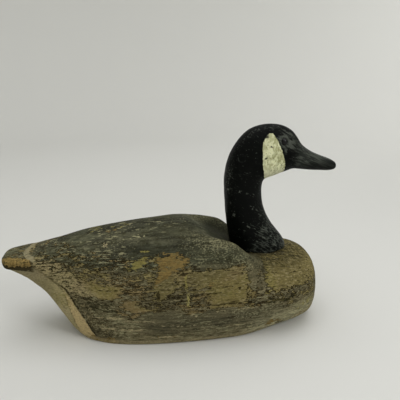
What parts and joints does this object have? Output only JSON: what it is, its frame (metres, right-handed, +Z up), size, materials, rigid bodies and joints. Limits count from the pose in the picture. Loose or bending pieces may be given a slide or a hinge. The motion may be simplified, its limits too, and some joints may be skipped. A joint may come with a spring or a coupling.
{
  "type": "goose decoy",
  "caption": "Carved wooden goose decoy with a flat underside, paddle tail, raised shoulders and an upright neck and head, in worn paint.",
  "frame": {"origin": "on the flat underside's plane, below the middle of the whole decoy's length and width", "axes": "+X towards the bill, +Y to the bird's left, +Z up"},
  "size_m": [0.5592, 0.214, 0.336],
  "materials": {
    "worn body paint": "matt, worn and flecked paint over bare wood",
    "black neck paint": "satin, brushed and scratched, with a cream patch on each cheek",
    "eye glass": "polished, dark"
  },
  "bodies": {
    "root": {"body": "worn body paint", "neck_and_head": "black neck paint", "eye_left": "eye glass", "eye_right": "eye glass"}
  },
  "joints": []
}
